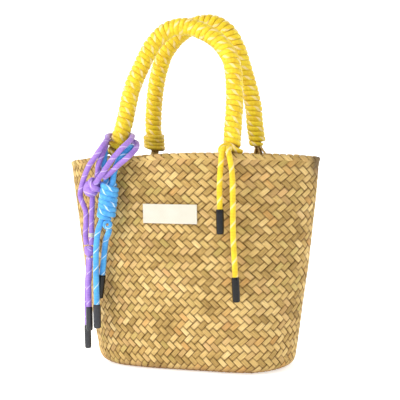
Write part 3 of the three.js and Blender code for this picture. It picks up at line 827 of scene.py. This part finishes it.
# Line of one handle's core, from foot to foot
def handle_line(arch, handle):
    seat_radius = CORE_DIAMETER / 2 + SEAT_CLEARANCE + GAP
    side = handle["side"]

    def foot(x, depth):
        z = BAG_HEIGHT - depth
        slack = CORE_STAND_OFF * (1 - depth / CORE_FOOT_DEPTH)
        return (x, side * (seat_inside(x, z, seat_radius) - slack), z)

    to_x = lambda across: handle["shift"] + across * SPAN / 2
    left, right = foot(to_x(arch[0][0]), 0), foot(to_x(arch[-1][0]), 0)
    depths = [CORE_FOOT_DEPTH, CORE_FOOT_DEPTH * 0.45]
    points = [foot(left[0], depth) for depth in depths]
    for across, up in arch:
        x = to_x(across)
        foot_y = left[1] + (right[1] - left[1]) * (x - left[0]) / (right[0] - left[0])
        height = up * handle["rise"]
        points.append((x, foot_y - side * handle["lean"] * height, BAG_HEIGHT + height))
    points += [foot(right[0], depth) for depth in depths[::-1]]
    return smooth_line(points, 0.5)


# Directions square to a handle's line: sideways, and towards the back
def handle_frame(line):
    along = tangents(line)
    first = unit(np.cross(along, np.array([0.0, 1.0, 0.0])))
    return first, np.cross(first, along)


# Cord wound turn beside turn round a stretch of a line
def winding(name, line, from_mm, to_mm, radius, width, height, material, per_turn=30, sides=10, tilt=0.5):
    length = line_length(line)
    first, second = handle_frame(line)
    turns = max(1, round((to_mm - from_mm) / width))
    t = np.linspace(0, turns, turns * per_turn + 1)
    angle = 2 * np.pi * t
    at = from_mm + (to_mm - from_mm) * (t / turns)
    wobble = 0.12 * np.sin(t * 2.3 + 1) + 0.1 * np.sin(t * 0.71)
    at = np.clip(at + tilt * np.cos(angle) + wobble, 0, length)
    grid = np.linspace(0, length, len(line))
    pick = lambda table: np.stack([np.interp(at, grid, table[:, c]) for c in range(3)], 1)
    middle, a, b = pick(line), unit(pick(first)), unit(pick(second))
    ends = np.minimum(np.minimum(t, turns - t) / 0.3, 1)
    swell = radius * (0.72 + 0.28 * ends) + 0.1 * np.sin(t * 1.7 + 2) * ends
    radial = a * np.cos(angle)[:, None] + b * np.sin(angle)[:, None]
    centre = middle + radial * swell[:, None]
    forward = unit(np.gradient(centre, axis=0))
    radial = unit(radial - forward * np.sum(radial * forward, 1, keepdims=True))
    sideways = np.cross(radial, forward)
    scale = 0.45 + 0.55 * ends
    return tube(name, centre, width * TURN_OVERLAP, height, sideways, radial, sides, material, 0.66, scale)


# Straw rope of three strands, from foot to foot
def straw_core(name, line, material):
    first, second = handle_frame(line)
    line, first, second = line[::3], first[::3], second[::3]
    t = np.linspace(0, line_length(line) / ROPE_LEAD, len(line))
    pieces = []
    for strand in range(3):
        angle = 2 * np.pi * (t + strand / 3)
        radial = first * np.cos(angle)[:, None] + second * np.sin(angle)[:, None]
        centre = line + radial * ROPE_RADIUS
        a, b = carried_frame(centre)
        pieces.append(tube(name, centre, ROPE_STRAND, ROPE_STRAND, a, b, 10, material))
    return join(pieces, name)


# Cap beyond the end of a cord's line, with a shallow hollow in its end
def cap(name, line, diameter, material):
    sides = 28
    outward = unit(line[-1] - line[-3])
    radius = diameter / 2 + CAP_OVER_CORD
    start = line[-1] + outward * GAP
    side = unit(np.cross(outward, [0.0, 1.0, 0.3]))
    other = np.cross(outward, side)
    angle = ring_angles(sides)
    ring = side[None, :] * np.cos(angle)[:, None] + other[None, :] * np.sin(angle)[:, None]
    rings = np.array([start + outward * h + ring * (r / CAP_WIDEST * radius) for r, h in CAP_PROFILE])
    along = np.array([[h for _, h in CAP_PROFILE]])
    around = np.linspace(0, 1, sides + 1)[None, :]
    return mesh_from_rings(name, rings[None], along, around, material)


# Ball of a knot with shallow grooves between its strands
def knot_ball(name, middle, half, material):
    lobes, groove, sides = 3, 0.07, 36
    lat = np.linspace(0.04, np.pi - 0.04, 24)
    lon = ring_angles(sides)
    rings = []
    for row in lat:
        bulge = 1 + groove * np.abs(np.cos((lon + row * 1.4) * lobes / 2)) - groove
        x = np.sin(row) * np.cos(lon) * bulge
        y = np.sin(row) * np.sin(lon) * bulge
        z = np.full_like(lon, np.cos(row))
        rings.append(np.stack([x * half[0], y * half[1], z * half[2]], 1) + middle)
    along = (lat * half[2])[None, :]
    around = np.linspace(0, 1, sides + 1)[None, :]
    return mesh_from_rings(name, np.array(rings)[None], along, around, material)


# Strand that passes round a knot: an oval ring about an axis
def round_strand(name, middle, axis, radius_a, radius_b, diameter, material):
    middle = np.array(middle)
    axis = unit(np.array(axis, float))
    side = unit(np.cross(axis, [0.0, 1.0, 0.0]))
    other = np.cross(axis, side)
    angle = np.radians(np.linspace(0.0, 360.0, 64))
    line = middle + side * np.cos(angle)[:, None] * radius_a + other * np.sin(angle)[:, None] * radius_b
    along = tangents(line)
    a = unit(line - middle)
    a = unit(a - along * np.sum(a * along, 1, keepdims=True))
    return tube(name, line, diameter * 0.86, diameter, a, np.cross(along, a), 14, material)


# One free cord along its route; fullness draws it thicker than its solid
def free_cord(name, node, route, diameter, material, fullness=1.0):
    line = smooth_line(route, CORD_STEP)
    a, b = carried_frame(line)
    piece = tube(name, line, diameter * fullness, diameter * fullness, a, b, 16, material)
    place(piece, node)
    line_length(line) * MM


# One loose end of a cord, such as yellow left, with its cap
def loose_end(color, word, route, diameter, material, cap_look, fullness=1.0):
    end = cap(color + "_tip_" + word, smooth_line(route, CORD_STEP), diameter, cap_look)
    place(end, color + "_cap_" + word)
    free_cord(color + "_end_" + word, color + "_tail_" + word, route, diameter, material,
              fullness)


# Last strand of the front winding, which crosses its foot and holds the two loose ends
def yellow_ends(yellow, black):
    line = smooth_line(FOOT_STRAND, 0.6)
    a, b = carried_frame(line)
    strand = tube("yellow_foot_strand", line, 5.4, 5.0, a, b, 14, yellow)
    place(strand, "yellow_knot")
    loose_end("yellow", "left", YELLOW_LEFT, YELLOW_DIAMETER, yellow, black)
    loose_end("yellow", "right", YELLOW_RIGHT, YELLOW_DIAMETER, yellow, black)


def purple_knots(purple):
    big = join([
        knot_ball("purple_knot_ball", KNOT_MIDDLE, KNOT_HALF, purple),
        round_strand("purple_knot_neck", KNOT_NECK_MIDDLE, KNOT_NECK_AXIS, 6.8, 5.6, 5.8, purple),
        knot_ball("purple_knot_heart", KNOT_HEART_MIDDLE, KNOT_HEART_HALF, purple),
    ], "purple_knot_body")
    place(big, "purple_knot")
    small = join([
        knot_ball("purple_small_ball", SMALL_KNOT_MIDDLE, SMALL_KNOT_HALF, purple),
        round_strand("purple_small_neck", SMALL_NECK_MIDDLE, SMALL_NECK_AXIS, 4.0, 3.6, 3.6, purple),
    ], "purple_small_body")
    place(small, "purple_small_knot")
    return big, small


# Thread tied round one purple strand: the rise and the slant of each of its turns
def thread_tie(cloth):
    x, y, z = TIE_MIDDLE
    turns = [
        round_strand("tie_turn_" + str(n), (x, y, z + rise), (slant, 0.1, 1.0), 2.9, 2.9, 1.1, cloth)
        for n, (rise, slant) in enumerate([(-1.4, 0.1), (-0.4, -0.15), (0.5, 0.2), (1.5, -0.05)])
    ]
    tie = join(turns, "thread_turns")
    place(tie, "purple_tie")
    return tie


def purple_cords(purple, grey, cloth):
    big, small = purple_knots(purple)
    tie = thread_tie(cloth)
    runs = (
        ("purple_turn_upper", "purple_loop_upper", PURPLE_UPPER, small),
        ("purple_turn_lower", "purple_loop_lower", PURPLE_LOWER, big),
        ("purple_middle", "purple_strand", PURPLE_STRAND, tie),
    )
    for name, node, route, carried in runs:
        free_cord(name, node, route, PURPLE_DIAMETER, purple,
                  PURPLE_FULLNESS)
    for word, route in (("left", PURPLE_LEFT), ("right", PURPLE_RIGHT)):
        loose_end("purple", word, route, PURPLE_DIAMETER, purple, grey, PURPLE_FULLNESS)


# Coil knot of the blue cord, wound round a solid heart
def blue_coil(blue):
    top, bottom = np.array(COIL_TOP), np.array(COIL_BOTTOM)
    line = even_steps(np.array([top + (bottom - top) * t for t in np.linspace(-0.12, 1, 40)]), 0.5)
    turns = winding("blue_coil_turns", line, 2.4, line_length(line) - 2.4, COIL_DIAMETER / 2 - 2.9, 5.3,
                    BLUE_DIAMETER, blue, per_turn=48, sides=14)
    heart = knot_ball("blue_coil_heart", (top + bottom) / 2, (5.6, 5.6, 16.5), blue)
    coil = join([turns, heart], "blue_coil_turns")
    place(coil, "blue_coil")
    return coil


def blue_cords(blue, grey, black):
    coil = blue_coil(blue)
    eye_radius = (EYE_DIAMETER - EYE_CORD) / 2
    eye = round_strand("blue_eye_ring", EYE_MIDDLE, (0.0, -1.0, 0.15), eye_radius, eye_radius, EYE_CORD, blue)
    place(eye, "blue_eye")
    free_cord("blue_turn", "blue_loop", BLUE_LOOP, BLUE_DIAMETER, blue)
    loose_end("blue", "near", BLUE_NEAR, BLUE_DIAMETER, blue, grey)
    loose_end("blue", "far", BLUE_FAR, BLUE_DIAMETER, blue, black)


def basket():
    wall = Wall()
    pieces = [
        wall_strands(wall, "straw_rising_right", 1, straw_material("straw_rising_right", 1.0)),
        wall_strands(wall, "straw_rising_left", -1, straw_material("straw_rising_left", 2.0)),
        rim_folds(wall, straw_material("straw_rim", 3.0)),
        shade_layer(wall, shade_material()),
        # The base plait takes a darker copy of the straw, a painted shade
        base_strands(straw_material("straw_base", 4.0, 0.85)),
    ]
    for piece in pieces:
        place(piece, "basket")


# Start and end of a handle's line above the rim, and the line bent inwards at its feet
def wound_stretch(line, handle):
    heights = line[:, 2]
    over = np.where(heights >= BAG_HEIGHT + WRAP_LIFT)[0]
    grid = np.linspace(0, line_length(line), len(line))
    inward = np.clip((BAG_HEIGHT + BEND_HEIGHT - heights) / BEND_RUN, 0, 1) * BEND_DEPTH * -handle["side"]
    return grid[over[0]], grid[over[-1]], line + np.array([0.0, 1.0, 0.0]) * inward[:, None]


def front_handle(core_look, yellow):
    line = handle_line(FRONT_ARCH, FRONT)
    place(straw_core("straw_rope_front", line, core_look), "handle_core_front")
    start, end, line = wound_stretch(line, FRONT)
    radius = CORE_DIAMETER / 2 + TURN_HEIGHT / 2
    wound = winding("wound_front", line, start - FRONT_FOOT_REACH + WRAP_END, end - WRAP_END, radius,
                    FRONT["pitch"], TURN_HEIGHT, yellow)
    place(wound, "handle_wrap_front")


# The back handle also has a collar of thicker turns at its left foot
def back_handle(core_look, yellow, collar_look):
    line = handle_line(BACK_ARCH, BACK)
    place(straw_core("straw_rope_back", line, core_look), "handle_core_back")
    start, end, line = wound_stretch(line, BACK)
    collar_end = start + 3 * TURN_WIDTH
    collar = winding("collar_turns", line, start + 1.4, collar_end + 1, CORE_DIAMETER / 2 + 4.9, 4.6,
                     TURN_HEIGHT + 0.8, collar_look, tilt=0.9)
    place(collar, "wrap_collar_back")
    height = TURN_HEIGHT + BACK_SWELL
    wound = winding("wound_back", line, collar_end + GAP - 1.5 + WRAP_END, end - BACK_FOOT_SHORT - WRAP_END,
                    CORE_DIAMETER / 2 + height / 2, BACK["pitch"], height, yellow)
    place(wound, "handle_wrap_back")


# Core strap that fans out at the back handle's right foot
def back_strap():
    line = handle_line(BACK_ARCH, BACK)
    foot = line[line[:, 0] > 0]
    foot = foot[(foot[:, 2] < BAG_HEIGHT + STRAP_ABOVE) & (foot[:, 2] > BAG_HEIGHT - STRAP_BELOW)]
    spread = (foot[:1, 2] - foot[:, 2:3]) / STRAP_BELOW
    look = straw_material("straw_strap", 6.0)
    straps = []
    for lean in (-1, 0, 1):
        sideways = spread * (lean * STRAP_SPREAD + STRAP_SHIFT)
        path = foot + np.concatenate([sideways, np.full_like(spread, -STRAP_OUT), spread * 0], axis=1)
        _, b = carried_frame(path)
        a = np.cross(b, tangents(path))
        straps.append(tube("strap", path, STRAP_WIDTH, STRAP_THICKNESS, a, b, 10, look, 0.7))
    place(join(straps, "straw_strap_back"), "handle_core_back")


# Bare label that follows the front wall
def label(cloth):
    px = np.linspace(-0.5, 0.5, 28) * LABEL["width"] + LABEL["x"]
    pz = np.linspace(-0.5, 0.5, 10) * LABEL["height"] + LABEL["z"]
    section = []
    for x in px:
        front = [(x, -(wall_face(x, z) + LABEL_FRONT + 0.15 * math.sin(x * 0.3)), z) for z in pz]
        back = [(x, -(wall_face(x, z) + LABEL_BACK), z) for z in pz[::-1]]
        section.append(front + back)
    around = np.concatenate([pz, pz[::-1], pz[:1]])[None, :]
    plate = mesh_from_rings("label_plate", np.array(section)[None], px[None, :], around, cloth)
    for polygon in plate.data.polygons:
        polygon.use_smooth = False
    place(plate, "label")


# Pale floor that curves up into a backdrop behind and beside the bag, and stays open in front
def backdrop():
    floor_radius, bend, top, sides, opening = 3.0, 1.5, 6.0, 72, math.radians(62)
    turn = np.linspace(0, np.pi / 2, 16)
    curved = [(floor_radius + bend * math.sin(t), bend - bend * math.cos(t)) for t in turn]
    curved.append((floor_radius + bend, top))
    flat = [(radius, 0.0) for radius in np.linspace(floor_radius, 2 * floor_radius, len(curved))]
    angles = ring_angles(sides)
    is_open = [math.cos(t + math.pi / 2) > math.cos(opening) for t in angles]
    vertices = [(0.0, 0.0, 0.0)]
    for t, front in zip(angles, is_open):
        vertices += [(r * math.cos(t), r * math.sin(t), z) for r, z in (flat if front else curved)]
    faces = []
    for i in range(sides):
        after = (i + 1) % sides
        here, there = 1 + i * len(curved), 1 + after * len(curved)
        faces.append((0, here, there))
        if is_open[i] == is_open[after]:
            faces += [(here + k, here + k + 1, there + k + 1, there + k) for k in range(len(curved) - 1)]
    mesh = bpy.data.meshes.new("backdrop")
    mesh.from_pydata(vertices, [], faces)
    piece = add_object("backdrop", mesh)
    piece.location.z = -0.0002
    s = Shader("backdrop")
    s.main.inputs["Emission Color"].default_value = WHITE
    s.main.inputs["Emission Strength"].default_value = BACKDROP_GLOW
    mesh.materials.append(s.finish(linear("#F4F4F2"), 0.9, 0.1))


# Square lamp aimed at the middle of the bag
def area_light(name, location, size, power):
    data = bpy.data.lights.new(name, "AREA")
    data.shape = "SQUARE"
    data.size = size
    data.energy = power
    lamp = add_object(name, data)
    lamp.location = location
    lamp.rotation_euler = (Vector((0, 0, 0.15)) - Vector(location)).to_track_quat("-Z", "Y").to_euler()


def studio():
    backdrop()
    area_light("key", (-0.95, -1.05, 1.0), 0.6, 17)
    area_light("fill", (0.5, -1.6, 0.5), 1.2, 3)
    world = bpy.data.worlds.new("world")
    world.use_nodes = True
    background = world.node_tree.nodes["Background"]
    background.inputs[0].default_value = WHITE
    background.inputs[1].default_value = WORLD_LIGHT
    bpy.context.scene.world = world
    bpy.context.scene.view_settings.view_transform = "Standard"


# Camera and cords first, then the basket, handles and label
def build():
    add_camera()
    yellow = cord_material("yellow_cord", "#F0D822", "#DCA90C", "#F6E0A6", YELLOW_DIAMETER, 0.1, 0.8)
    purple = cord_material("purple_cord", "#AC84DA", "#8058B4", "#E6D6FA", PURPLE_DIAMETER, 0.06, 0.6)
    blue = cord_material("blue_cord", "#55B2F2", "#2F83CE", "#D8F0FF", BLUE_DIAMETER, 0.055, 0.8)
    collar = cord_material("collar_cord", "#F2D62C", "#C69A16", "#F4DC9C", YELLOW_DIAMETER, 0.1, 0.5, 0.35)
    black = cap_material("black_cap", "#08080A", "#121215")
    grey = cap_material("grey_cap", "#2A2B30", "#3C3D43")
    cloth = cloth_material()
    yellow_ends(yellow, black)
    purple_cords(purple, grey, cloth)
    blue_cords(blue, grey, black)
    basket()
    # The handle cores take a darker copy of the straw, a painted shade
    core = straw_material("straw_core", 5.0, 0.85)
    front_handle(core, yellow)
    back_handle(core, yellow, collar)
    back_strap()
    label(cloth)
    studio()


build()
